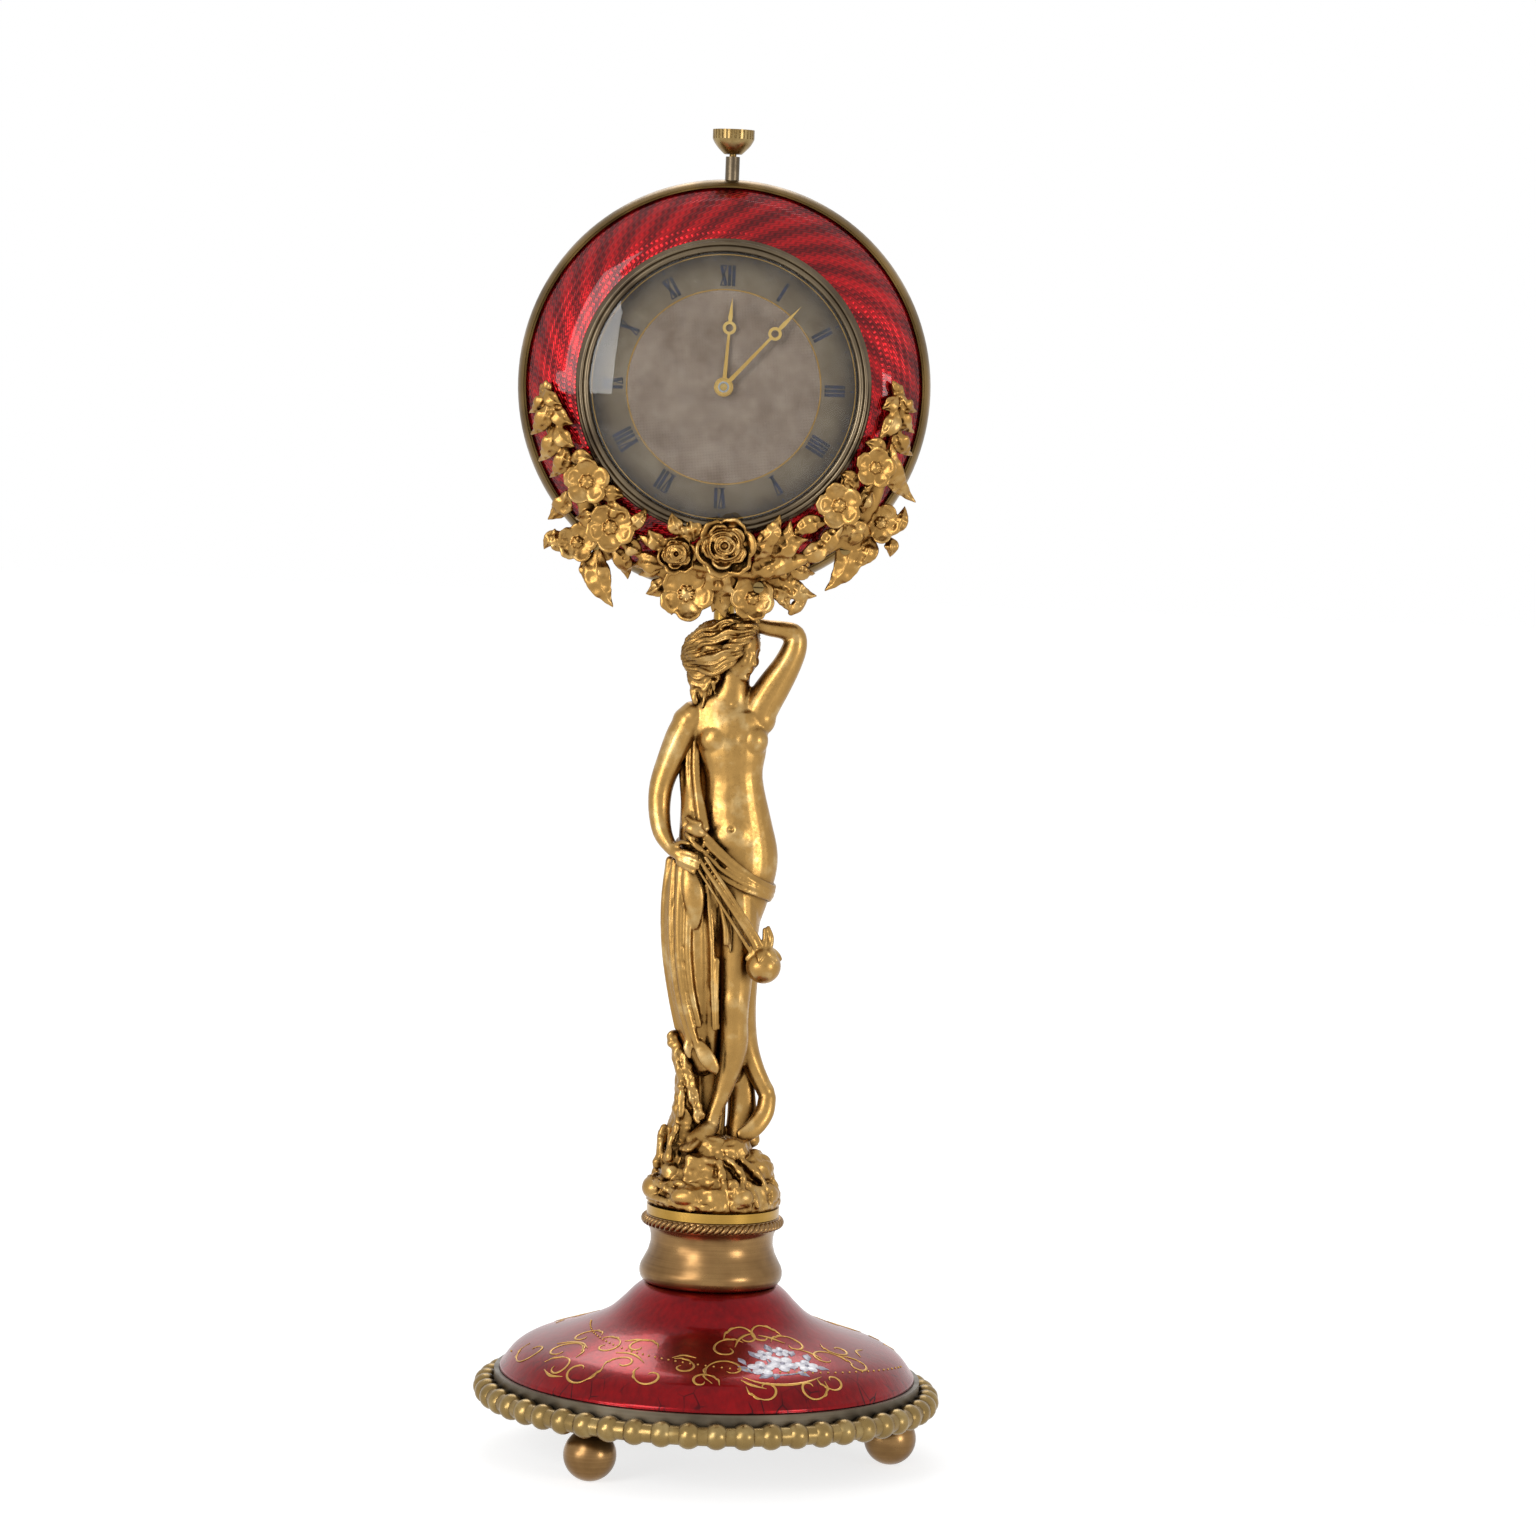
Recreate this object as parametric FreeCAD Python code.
import FreeCAD, Part
import math
import os

Vec = FreeCAD.Vector

# A figural table clock: a small round watch-like clock held up by a gilt standing figure on an enamelled bell
# foot. Millimetres, +Z up, the dial faces -Y. The origin is on the table, under the middle of the foot.

# Feet and base
foot_count = 3
foot_ball_radius = 3.74
foot_flat_depth = 0.06
foot_circle_radius = 26.8
foot_neck_radius = 1.9
foot_first_angle = -126.0
foot_stud_radius = 1.0
plate_under_z = 7.6
plate_thickness = 1.0
plate_radius = 30.6
bead_count = 52
bead_radius = 1.9
bead_circle_radius = 31.7
bead_height_share = 0.342
bead_core_radius = 1.35
solder_gap = 0.02
rim_wall = 0.7
rim_height = 3.1
rim_ledge_width = 1.3
rim_ledge_height = 2.3

# Enamelled bell foot
dome_radius = 29.85
dome_edge_height = 0.9
dome_rise = 13.1
dome_wall = 0.9
dome_profile_shares = [(0.983, 0.076), (0.936, 0.211), (0.870, 0.309), (0.769, 0.392), (0.669, 0.466),
                       (0.569, 0.553), (0.485, 0.655), (0.418, 0.792), (0.368, 0.910), (0.325, 0.985)]
dome_top_share = 0.300

# Spool collar and the plate that the casting stands on
collar_height = 9.9
collar_foot_radius = 9.5
collar_bead_radius = 10.25
collar_rope_radius = 0.8
collar_top_radius = 9.6
collar_profile_shares = [(0.04, 0.955), (0.19, 1.0), (0.33, 0.945), (0.58, 0.854), (0.75, 0.872),
                         (0.84, 0.93)]
rope_turns = 64
rope_notch_radius = 0.22
plinth_radius = 9.5
plinth_thickness = 1.3

# Tie rod, nut and spacer
rod_radius = 1.5
rod_reach_into_rock = 5.0
nut_radius = 3.0
nut_height = 2.0
washer_radius = 4.2
washer_thickness = 0.6
spacer_wall = 1.1
fit_gap = 0.05

# Rock mound and tree stump, in shares of the mound's height and base radius
rock_radius = 10.1
rock_height = 9.6
rock_shares = [(0.00, 0.00, 0.00, 0.93, 0.90), (0.00, 0.00, 0.18, 1.00, 0.96),
               (-0.02, 0.02, 0.36, 0.97, 0.90), (-0.02, 0.02, 0.62, 0.80, 0.76),
               (0.00, 0.02, 0.86, 0.70, 0.66), (0.00, 0.02, 1.00, 0.52, 0.50)]
rock_lump_shares = [(-0.86, -0.30, 0.30, 0.24), (0.80, -0.35, 0.26, 0.22), (-0.25, -0.80, 0.40, 0.30),
                    (0.35, -0.78, 0.34, 0.26), (0.62, 0.62, 0.32, 0.30), (-0.62, 0.66, 0.32, 0.32),
                    (0.00, 0.92, 0.24, 0.24), (-0.38, -0.52, 0.82, 0.26)]

# Figure, in shares of its height above the plinth: x, y, z and half width, half depth of each station
figure_height = 86.0
torso_shares = [(0.010, 0.000, 0.480, 0.058, 0.046), (0.012, 0.000, 0.533, 0.071, 0.053),
                (0.020, 0.000, 0.590, 0.068, 0.052), (0.020, -0.002, 0.640, 0.060, 0.047),
                (0.011, -0.003, 0.712, 0.046, 0.038), (0.009, -0.006, 0.750, 0.050, 0.041),
                (0.003, -0.008, 0.785, 0.062, 0.046), (-0.006, -0.002, 0.815, 0.069, 0.039),
                (-0.012, 0.000, 0.836, 0.058, 0.031), (-0.010, 0.000, 0.850, 0.030, 0.025),
                (-0.007, -0.001, 0.885, 0.024, 0.023)]
head_place_shares = (-0.010, -0.002, 0.927)
head_size_shares = (0.053, 0.052, 0.066)
bun_place_shares = (-0.066, 0.012, 0.921)
bun_size_share = 0.027
raised_arm_shares = [(0.036, 0.000, 0.822, 0.027, 0.027), (0.064, 0.001, 0.852, 0.021, 0.022),
                     (0.086, 0.002, 0.896, 0.018, 0.019), (0.103, 0.002, 0.944, 0.0165, 0.018),
                     (0.096, 0.001, 0.968, 0.0165, 0.018), (0.064, -0.006, 0.979, 0.015, 0.016),
                     (0.028, -0.020, 0.988, 0.011, 0.012), (0.008, -0.026, 0.992, 0.009, 0.016)]
lower_arm_shares = [(-0.058, 0.000, 0.820, 0.026, 0.027), (-0.088, 0.001, 0.800, 0.024, 0.025),
                    (-0.106, 0.002, 0.758, 0.021, 0.022), (-0.1195, 0.002, 0.700, 0.0195, 0.021),
                    (-0.119, -0.004, 0.656, 0.019, 0.019), (-0.108, -0.018, 0.622, 0.016, 0.016),
                    (-0.086, -0.036, 0.600, 0.012, 0.013), (-0.062, -0.047, 0.590, 0.011, 0.013),
                    (-0.044, -0.052, 0.586, 0.008, 0.011)]
standing_leg_shares = [(0.018, -0.002, 0.575, 0.036, 0.030), (0.018, -0.004, 0.500, 0.046, 0.040),
                       (0.020, -0.008, 0.440, 0.039, 0.038), (0.020, -0.010, 0.350, 0.028, 0.030),
                       (0.021, -0.006, 0.290, 0.0255, 0.028), (0.018, 0.000, 0.235, 0.022, 0.024),
                       (0.008, 0.004, 0.175, 0.0140, 0.016), (0.002, 0.006, 0.120, 0.0150, 0.018)]
standing_foot_shares = [(0.006, 0.014, 0.122, 0.0120, 0.012), (-0.004, 0.002, 0.122, 0.0150, 0.015),
                        (-0.020, -0.018, 0.112, 0.0160, 0.012), (-0.042, -0.036, 0.100, 0.0140, 0.007)]
rear_leg_shares = [(0.026, 0.012, 0.520, 0.030, 0.026), (0.030, 0.020, 0.420, 0.032, 0.032),
                   (0.042, 0.030, 0.330, 0.024, 0.026), (0.058, 0.033, 0.262, 0.020, 0.023),
                   (0.074, 0.030, 0.206, 0.0150, 0.017), (0.083, 0.026, 0.180, 0.0130, 0.014)]
rear_foot_shares = [(0.088, 0.028, 0.196, 0.0110, 0.011), (0.078, 0.020, 0.170, 0.0150, 0.014),
                    (0.058, 0.010, 0.146, 0.0140, 0.011), (0.036, 0.000, 0.122, 0.0120, 0.007)]
drape_shares = [(-0.050, 0.002, 0.620, 0.036, 0.030), (-0.056, 0.002, 0.575, 0.044, 0.044),
                (-0.053, 0.004, 0.500, 0.053, 0.050), (-0.054, 0.004, 0.425, 0.051, 0.047),
                (-0.046, 0.006, 0.345, 0.045, 0.040), (-0.034, 0.006, 0.285, 0.038, 0.033),
                (-0.014, -0.006, 0.238, 0.020, 0.022)]
back_drape_shares = [(-0.050, 0.022, 0.800, 0.026, 0.016), (-0.050, 0.034, 0.720, 0.034, 0.016),
                     (-0.034, 0.044, 0.620, 0.050, 0.020), (-0.010, 0.046, 0.520, 0.062, 0.026),
                     (-0.004, 0.042, 0.400, 0.056, 0.026), (0.000, 0.040, 0.300, 0.046, 0.022),
                     (0.002, 0.038, 0.230, 0.034, 0.016)]
hip_sash_shares = [(-0.060, -0.040, 0.600, 0.012, 0.012), (-0.022, -0.058, 0.575, 0.018, 0.012),
                   (0.020, -0.056, 0.545, 0.020, 0.012), (0.056, -0.036, 0.525, 0.018, 0.012),
                   (0.070, 0.000, 0.520, 0.016, 0.012), (0.052, 0.036, 0.530, 0.014, 0.012)]
stump_shares = [(-0.030, 0.004, 0.040, 0.040, 0.036), (-0.042, 0.006, 0.120, 0.027, 0.026),
                (-0.058, 0.008, 0.200, 0.019, 0.020), (-0.072, 0.010, 0.262, 0.0150, 0.017),
                (-0.070, 0.008, 0.300, 0.0170, 0.018)]
horn_shares = [(-0.040, -0.062, 0.578, 0.010, 0.009), (0.010, -0.068, 0.512, 0.011, 0.010),
               (0.050, -0.068, 0.460, 0.014, 0.012), (0.062, -0.066, 0.440, 0.022, 0.016)]
horn_ball_shares = (0.065, -0.060, 0.410, 0.0316)

# Round head of the clock: its centre, and its radii and levels from the mid plane towards the viewer
head_x = -2.8
head_z = 153.2
head_radius = 29.3
rim_inner_radius = 27.9
rim_half_depth = 2.3
rim_lip = 0.5
ring_inner_radius = 20.75
ring_outer_radius = 28.1
ring_front_level = 7.2
ring_back_level = 5.0
ring_edge_level = 1.9
ring_bulge_share = 0.72
ring_wall = 0.8
drum_outer_radius = 20.6
drum_wall = 1.0
web_half = 0.5
bezel_inner_radius = 18.9
bezel_front_level = 9.5
bezel_lip = 0.45
crystal_radius = 19.25
crystal_edge_level = 8.0
crystal_wall = 0.8
crystal_rise = 2.4
dial_radius = 19.2
dial_back_level = 6.4
dial_thickness = 0.5
dial_hole_radius = 1.35
seat_gap = 0.05

# Back cover and its hinge
cover_radius = 20.4
cover_wall = 0.7
cover_rise = 2.0
cover_gap = 0.1
hinge_offset = 1.5
hinge_knuckle_radius = 0.9
hinge_knuckle_length = 4.0
hinge_lug_length = 1.6
hinge_pin_radius = 0.4
hinge_gap = 0.06
hinge_arm = 2.2

# Pendant tube, crown and stem
tube_radius = 1.0
tube_wall = 0.35
tube_height = 3.2
crown_radius = 2.95
crown_height = 3.45
crown_band = 1.3
crown_neck_radius = 1.25
crown_gap = 0.35
crown_knurls = 30
crown_knurl_radius = 0.13
crown_profile_shares = [(0.35, 0.16), (0.79, 0.42)]
stem_radius = 0.5
stem_end_radius = 13.0
stem_gap = 0.05
detent_radius = 1.3
detent_thickness = 0.4
detent_place = 17.7
groove_depth = 0.12

# Movement plates, as levels from the mid plane towards the viewer
plate_disc_radius = 19.2
bridge_pillar_angles = (40.0, 115.0, 165.0)
train_pillar_angles = (200.0, 235.0, 262.0)
bridge_edge = -1.6
train_edge = 3.4
cock_foot_angle = 20.0
cock_foot_reach = 6.0
cock_half_width = 1.5
main_plate_low = 2.6
main_plate_high = 4.2
bridge_high = -1.6
bridge_low = -2.6
bridge_split_gap = 0.35
pillar_radius = 1.1
pillar_circle_radius = 17.6
screw_head_radius = 0.9
screw_head_height = 0.45
screw_slot_width = 0.22
pivot_gap = 0.03
dial_foot_radius = 0.6
dial_foot_angles = (65.0, 185.0, 305.0)

# Gear train: module and tooth counts
barrel_module = 0.20
barrel_teeth = 72
centre_pinion_teeth = 12
centre_module = 0.14
centre_teeth = 75
third_pinion_teeth = 10
third_module = 0.12
third_teeth = 80
fourth_pinion_teeth = 10
fourth_module = 0.11
fourth_teeth = 80
escape_pinion_teeth = 8
motion_module = 0.22
cannon_teeth = 10
minute_wheel_teeth = 30
minute_pinion_teeth = 8
hour_wheel_teeth = 32
winding_module = 0.30
crown_wheel_teeth = 30
ratchet_teeth = 45
winding_pinion_teeth = 14
winding_addendum = 0.25
winding_dedendum = 0.35
addendum_share = 0.85
dedendum_share = 1.25
wheel_tooth_share = 0.40
pinion_tooth_share = 0.34
tip_share = 0.55

# Where each arbor stands: direction from the one before it, degrees
barrel_angle = 15.19
third_angle = 215.0
fourth_angle = -70.0
escape_angle = -10.0
lever_angle = -20.0
minute_wheel_angle = 120.0
crown_wheel_reach = 10.0
lever_half = 3.3

# Levels and thicknesses of the wheels
wheel_thickness = 0.4
centre_wheel_level = 2.0
centre_pinion_level = -1.3
centre_pinion_height = 1.0
barrel_low = -1.2
barrel_height = 2.9
barrel_rim_height = 0.7
barrel_drum_radius = 6.6
barrel_wall = 0.4
barrel_arbor_radius = 0.8
barrel_core_radius = 1.9
third_wheel_level = 0.2
fourth_wheel_level = -0.9
pinion_height = 0.8
escape_wheel_level = 1.1
escape_radius = 2.9
escape_teeth = 15
arbor_radius = 0.3
pivot_radius = 0.16
centre_arbor_radius = 0.5
arbor_end_gap = 0.1
hub_share = 0.24
hub_radius_min = 0.62
wheel_rim_share = 0.16
spoke_count = 5
spoke_width_share = 0.13
tooth_lean_share = 0.16
ratchet_low = -3.5
ratchet_thickness = 0.8
crown_tooth_width = 0.30
crown_tooth_height = 0.6
crown_ring_width = 0.6
winding_pinion_near = 14.0
winding_pinion_far = 16.4
lug_thickness = 0.7
lug_half_width = 1.5
lug_gap = 0.06
lug_depth = 3.8
crown_stud_radius = 0.6
crown_groove_gap = 0.1
click_gap = 0.05
click_radius = 0.8
click_width = 0.7
click_angle = 75.0
click_tip_turn = 17.0

# Balance, pallet fork, springs
balance_radius = 4.6
balance_rim_width = 0.6
balance_level = -0.7
balance_thickness = 0.5
balance_screws = 12
balance_screw_radius = 0.16
balance_screw_length = 0.22
roller_radius = 0.95
roller_level = 0.55
roller_thickness = 0.3
jewel_pin_radius = 0.12
jewel_pin_circle = 0.78
fork_level = 1.1
fork_thickness = 0.4
fork_width = 0.5
fork_hub_radius = 0.36
fork_mouth_half = 0.75
fork_mouth_depth = 0.55
pallet_clear = 0.26
pallet_width = 0.34
pallet_spread = 31.0
pallet_bridge_level = 0.2
pallet_bridge_thickness = 0.5
pallet_bridge_half = 2.4
pallet_bridge_width = 1.2
hairspring_turns = 7
hairspring_inner_radius = 0.75
hairspring_outer_radius = 2.6
hairspring_width = 0.10
hairspring_height = 0.25
hairspring_level = -1.15
collet_radius = 0.7
mainspring_turns = 6
mainspring_width = 0.22
mainspring_clear = 0.25
mainspring_height = 1.9
regulator_radius = 1.1
regulator_length = 3.0
regulator_width = 0.5
regulator_thickness = 0.3
regulator_gap = 0.05
regulator_bore = 0.55

# Hands
minute_hand_length = 15.7
hour_hand_length = 12.6
hand_thickness = 0.25
hour_hand_level = 7.4
minute_hand_level = 8.05
minute_hand_angle = 42.0
hour_hand_angle = 3.5
hand_boss_radius = 1.35
minute_boss_radius = 1.1
hand_width = 0.62
hand_ring_radius = 0.95
hand_ring_share = 0.66
hand_hole_share = 0.55
hand_tail_share = 0.18
cannon_tube_radius = 0.78
hour_tube_radius = 1.18
tube_gap = 0.04
motion_wheel_level = 4.5
motion_wheel_thickness = 0.6
minute_pinion_top = 5.85
hour_wheel_level = 5.35
hour_wheel_thickness = 0.45

# Points round each ring of a lofted form
section_points = 12

# Garland castings: shares of the head's radius for place and size, levels towards the viewer
garland_seat_gap = 0.04
garland_lifts = {"garland_left": 0.8, "garland_centre": 2.7, "garland_right": 0.7}
petal_count = 5
petal_reach_share = 0.60
petal_size_share = 0.40
petal_foot_share = 0.2
petal_top_share = 0.55
flower_heart_share = 0.42
leaf_thickness = 0.38
twig_radius = 0.42
twig_joint_share = 1.12
twig_steps = 2
leaf_width_shares = [(0.0, 0.35), (0.25, 0.85), (0.55, 1.0), (0.85, 0.55), (1.0, 0.2)]
left_flower_shares = [(-0.637, -0.478, 0.082), (-0.533, -0.690, 0.106), (-0.679, -0.773, 0.086)]
left_leaf_shares = [(-0.838, -0.085, -0.905, -0.240, 0.040), (-0.836, -0.085, -0.739, -0.176, 0.040),
                    (-0.770, -0.240, -0.866, -0.385, 0.046), (-0.772, -0.245, -0.675, -0.337, 0.044),
                    (-0.680, -0.440, -0.796, -0.595, 0.036), (-0.600, -0.800, -0.505, -1.040, 0.046)]
left_twig_shares = [[(-0.838, -0.075), (-0.780, -0.230), (-0.690, -0.420), (-0.600, -0.600), (-0.533, -0.690),
                     (-0.400, -0.780), (-0.290, -0.830)],
                    [(-0.600, -0.600), (-0.679, -0.773), (-0.590, -0.810)]]
centre_flower_shares = [(0.045, -0.754, 0.130), (-0.110, -0.985, 0.125), (0.190, -0.985, 0.100),
                        (-0.170, -0.790, 0.090)]
centre_leaf_shares = [(0.210, -0.850, 0.343, -0.637, 0.046), (0.220, -0.920, 0.381, -1.000, 0.050),
                      (0.200, -0.880, 0.400, -0.800, 0.040)]
centre_twig_shares = [[(-0.170, -0.790), (0.045, -0.754), (0.210, -0.860), (0.190, -0.985)],
                      [(0.045, -0.754), (-0.110, -0.985), (0.190, -0.985)]]
right_flower_shares = [(0.594, -0.542, 0.096), (0.740, -0.359, 0.082), (0.789, -0.630, 0.078)]
right_leaf_shares = [(0.848, -0.050, 0.775, -0.190, 0.040), (0.848, -0.050, 0.900, -0.170, 0.038),
                     (0.820, -0.240, 0.937, -0.504, 0.040), (0.660, -0.560, 0.538, -0.951, 0.052),
                     (0.560, -0.640, 0.430, -0.880, 0.040)]
right_twig_shares = [[(0.850, -0.011), (0.828, -0.200), (0.740, -0.359), (0.594, -0.542), (0.560, -0.640),
                      (0.500, -0.740)],
                     [(0.594, -0.542), (0.660, -0.560), (0.789, -0.630)]]
garland_screw_radius = 0.4
garland_screw_head_radius = 0.75
garland_screw_circle = 28.65
garland_screw_depth = 1.3
garland_boss_radius = 1.2
garland_screw_angles = {"garland_left": -127.0, "garland_centre": -78.0, "garland_right": -51.0}

# Cradle between the figure's hair and the rim of the clock
cradle_wall = 1.4
cradle_half_depth = 2.0
cradle_half_angle = 10.0
cradle_post_radius = 1.5
cradle_post_x = -1.6
cradle_post_y = 0.8
cradle_post_sink_share = 0.955
cradle_screw_radius = 0.4
cradle_screw_head = 0.8
cradle_screw_angle = 7.0
cradle_screw_reach = 1.0


def outline(start, steps):
    # A closed face in the XZ plane from a start point and steps: a line, an arc or a smooth curve
    edges = []
    here = start
    for kind, points in steps:
        flat = [Vec(here[0], 0, here[1])] + [Vec(p[0], 0, p[1]) for p in points]
        if kind == "line":
            edges += [Part.makeLine(a, b) for a, b in zip(flat, flat[1:])]
        elif kind == "arc":
            edges.append(Part.Arc(flat[0], flat[1], flat[2]).toShape())
        else:
            curve = Part.BSplineCurve()
            curve.interpolate(flat)
            edges.append(curve.toShape())
        here = points[-1]
    if math.dist(here, start) > 0:
        edges.append(Part.makeLine(Vec(here[0], 0, here[1]), Vec(start[0], 0, start[1])))
    return Part.Face(Part.Wire(edges))


def spin(face):
    return face.revolve(Vec(0, 0, 0), Vec(0, 0, 1), 360)


def ring(inner, outer, low, high):
    # A flat ring, or a disc where inner is zero
    return spin(outline((inner, low), [("line", [(outer, low), (outer, high), (inner, high)])]))


def rod(radius, low, high, x=0.0, y=0.0):
    return Part.makeCylinder(radius, high - low, Vec(x, y, low))


def polar(radius, angle, origin=(0.0, 0.0)):
    turn = math.radians(angle)
    return origin[0] + radius * math.cos(turn), origin[1] + radius * math.sin(turn)


def moved(shape, x, y, z=0.0):
    copy = shape.copy()
    copy.translate(Vec(x, y, z))
    return copy


def joined(shapes):
    return shapes[0].fuse(shapes[1:]) if len(shapes) > 1 else shapes[0]


def place_head(shape):
    # The head is drawn flat, x right, y up and z towards the viewer, then stood up behind the dial's centre
    stood = shape.copy()
    stood.rotate(Vec(0, 0, 0), Vec(1, 0, 0), 90)
    stood.translate(Vec(head_x, 0, head_z))
    return stood


def one_solid(shape):
    solids = sorted(shape.Solids, key=lambda s: s.Volume)
    return solids[-1]


made = {}


def keep(name, shape, group=False):
    made[name] = Part.makeCompound(shape.Solids) if group else one_solid(shape)


# Lofted forms for the castings
def section(centre, along, half_wide, half_deep):
    # A closed smooth ring round a limb, square to its direction, its depth axis near Y
    deep = Vec(0, 1, 0) - along * along.y
    deep.normalize()
    wide = along.cross(deep)
    points = []
    for step in range(section_points):
        turn = 2 * math.pi * step / section_points
        points.append(centre + wide * (half_wide * math.cos(turn)) + deep * (half_deep * math.sin(turn)))
    curve = Part.BSplineCurve()
    curve.interpolate(Points=points, PeriodicFlag=True)
    return Part.Wire(curve.toShape())


def limb(stations):
    # A smooth solid through stations of x, y, z, half width and half depth
    centres = [Vec(*s[:3]) for s in stations]
    wires = []
    for i, station in enumerate(stations):
        before = centres[max(i - 1, 0)]
        after = centres[min(i + 1, len(centres) - 1)]
        along = after - before
        along.normalize()
        wires.append(section(centres[i], along, station[3], station[4]))
    return Part.makeLoft(wires, True, False)


def ball(place, sizes):
    # A sphere stretched to three half sizes
    size = FreeCAD.Matrix()
    size.scale(*sizes)
    shape = Part.makeSphere(1).transformGeometry(size)
    shape.translate(Vec(*place))
    return shape


def grown(shapes):
    # Joins lofted forms one after another, which keeps their surfaces whole
    whole = shapes[0]
    for shape in shapes[1:]:
        whole = whole.fuse(shape)
    return whole


# Levels of the foot, worked out from the table up
plate_top_z = plate_under_z + plate_thickness
dome_edge_z = plate_top_z + rim_ledge_height + dome_edge_height
dome_top_z = dome_edge_z + dome_rise
collar_low_z = dome_top_z + fit_gap
collar_top_z = collar_low_z + collar_height
plinth_top_z = collar_top_z + plinth_thickness
rod_top_z = plinth_top_z + rod_reach_into_rock
rim_inner_wall_radius = plate_radius - rim_wall


def base_nodes():
    ball_z = foot_ball_radius - foot_flat_depth
    feet = []
    studs = []
    for index in range(foot_count):
        x, y = polar(foot_circle_radius, foot_first_angle + index * 360 / foot_count)
        foot = Part.makeSphere(foot_ball_radius, Vec(x, y, ball_z))
        foot = foot.cut(rod(foot_ball_radius, -foot_ball_radius, 0.0, x, y))
        neck = rod(foot_neck_radius, ball_z, plate_under_z, x, y)
        stud = rod(foot_stud_radius, ball_z, plate_top_z, x, y)
        feet.append(joined([foot, neck, stud]))
        studs.append(rod(foot_stud_radius + solder_gap, 0.0, plate_top_z, x, y))
    keep("ball_feet", Part.makeCompound(feet), group=True)

    plate = ring(rod_radius + fit_gap, plate_radius, plate_under_z, plate_top_z)
    keep("base_plate", plate.cut(studs))

    bead_z = plate_under_z + bead_radius * 2 * bead_height_share
    beads = [Part.makeTorus(bead_circle_radius, bead_core_radius, Vec(0, 0, bead_z))]
    for index in range(bead_count):
        x, y = polar(bead_circle_radius, (index + 0.5) * 360 / bead_count)
        beads.append(Part.makeSphere(bead_radius, Vec(x, y, bead_z)))
    inside = rod(plate_radius + solder_gap, 0.0, plate_under_z + rim_height + bead_radius * 2)
    keep("bead_ring", joined(beads).cut(inside))

    ledge_inner = rim_inner_wall_radius - rim_ledge_width
    ledge_z = plate_top_z + rim_ledge_height
    rim_top_z = plate_top_z + rim_height
    rim = outline((ledge_inner, plate_top_z), [("line", [
        (plate_radius, plate_top_z), (plate_radius, rim_top_z), (rim_inner_wall_radius, rim_top_z),
        (rim_inner_wall_radius, ledge_z), (ledge_inner, ledge_z)])])
    keep("dome_rim", spin(rim))

    keep("enamel_dome", dome_shell())
    keep("spool_collar", collar())
    keep("plinth_plate", ring(rod_radius + fit_gap, plinth_radius, collar_top_z, plinth_top_z))

    nut_low_z = plate_under_z - washer_thickness - nut_height
    corners = [Vec(*polar(nut_radius, 60 * k), nut_low_z) for k in range(7)]
    nut = Part.Face(Part.makePolygon(corners)).extrude(Vec(0, 0, nut_height))
    flange = rod(washer_radius, plate_under_z - washer_thickness, plate_under_z)
    keep("flange_nut", nut.fuse(flange).cut(rod(rod_radius, nut_low_z, plate_under_z)))
    keep("tie_rod", rod(rod_radius, nut_low_z, rod_top_z))
    bore = rod_radius + fit_gap
    keep("spacer_tube", ring(bore, bore + spacer_wall, plate_top_z, dome_top_z - dome_wall))


def dome_shell():
    # The bell: a smooth outer curve and the same curve drawn in by the wall
    def curve(radius, rise, base):
        points = [(radius * r, base + rise * z) for r, z in dome_profile_shares]
        return points + [(radius * dome_top_share, base + rise)]

    outer = curve(dome_radius, dome_rise, dome_edge_z)
    inner = curve(dome_radius - dome_wall, dome_rise, dome_edge_z - dome_wall)
    hole = rod_radius + fit_gap
    low = plate_top_z + rim_ledge_height
    steps = [("line", [(dome_radius, low), (dome_radius, dome_edge_z)]), ("curve", outer),
             ("line", [(hole, dome_top_z), (hole, dome_top_z - dome_wall), inner[-1]]),
             ("curve", inner[-2::-1] + [(dome_radius - dome_wall, low)])]
    return spin(outline((dome_radius - dome_wall, low), steps))


def collar():
    points = [(collar_bead_radius * r, collar_low_z + collar_height * z) for z, r in collar_profile_shares]
    hole = rod_radius + fit_gap
    body = spin(outline((hole, collar_low_z), [
        ("line", [(collar_foot_radius, collar_low_z)]),
        ("curve", points + [(collar_top_radius - collar_rope_radius, collar_top_z - collar_rope_radius)]),
        ("line", [(collar_top_radius - collar_rope_radius, collar_top_z), (hole, collar_top_z)])]))
    rope_z = collar_top_z - collar_rope_radius
    rope = Part.makeTorus(collar_top_radius, collar_rope_radius, Vec(0, 0, rope_z))
    notches = []
    for index in range(rope_turns):
        x, y = polar(collar_top_radius + collar_rope_radius, index * 360 / rope_turns)
        notches.append(rod(rope_notch_radius, rope_z - collar_rope_radius, rope_z + collar_rope_radius, x, y))
    return body.fuse(rope).cut(notches)


# Castings: rock, figure and horn
def at_plinth(x, y, z):
    return figure_height * x, figure_height * y, plinth_top_z + figure_height * z


def figure_stations(shares):
    return [at_plinth(*s[:3]) + (figure_height * s[3], figure_height * s[4]) for s in shares]


def figure_casting():
    parts = [limb(figure_stations(torso_shares))]
    parts.append(ball(at_plinth(*head_place_shares), [figure_height * s for s in head_size_shares]))
    bun = figure_height * bun_size_share
    parts.append(Part.makeSphere(bun, Vec(*at_plinth(*bun_place_shares))))
    for shares in (standing_leg_shares, standing_foot_shares, rear_leg_shares, rear_foot_shares, drape_shares,
                   back_drape_shares, lower_arm_shares, raised_arm_shares, hip_sash_shares):
        parts.append(limb(figure_stations(shares)))
    return grown(parts)


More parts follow.
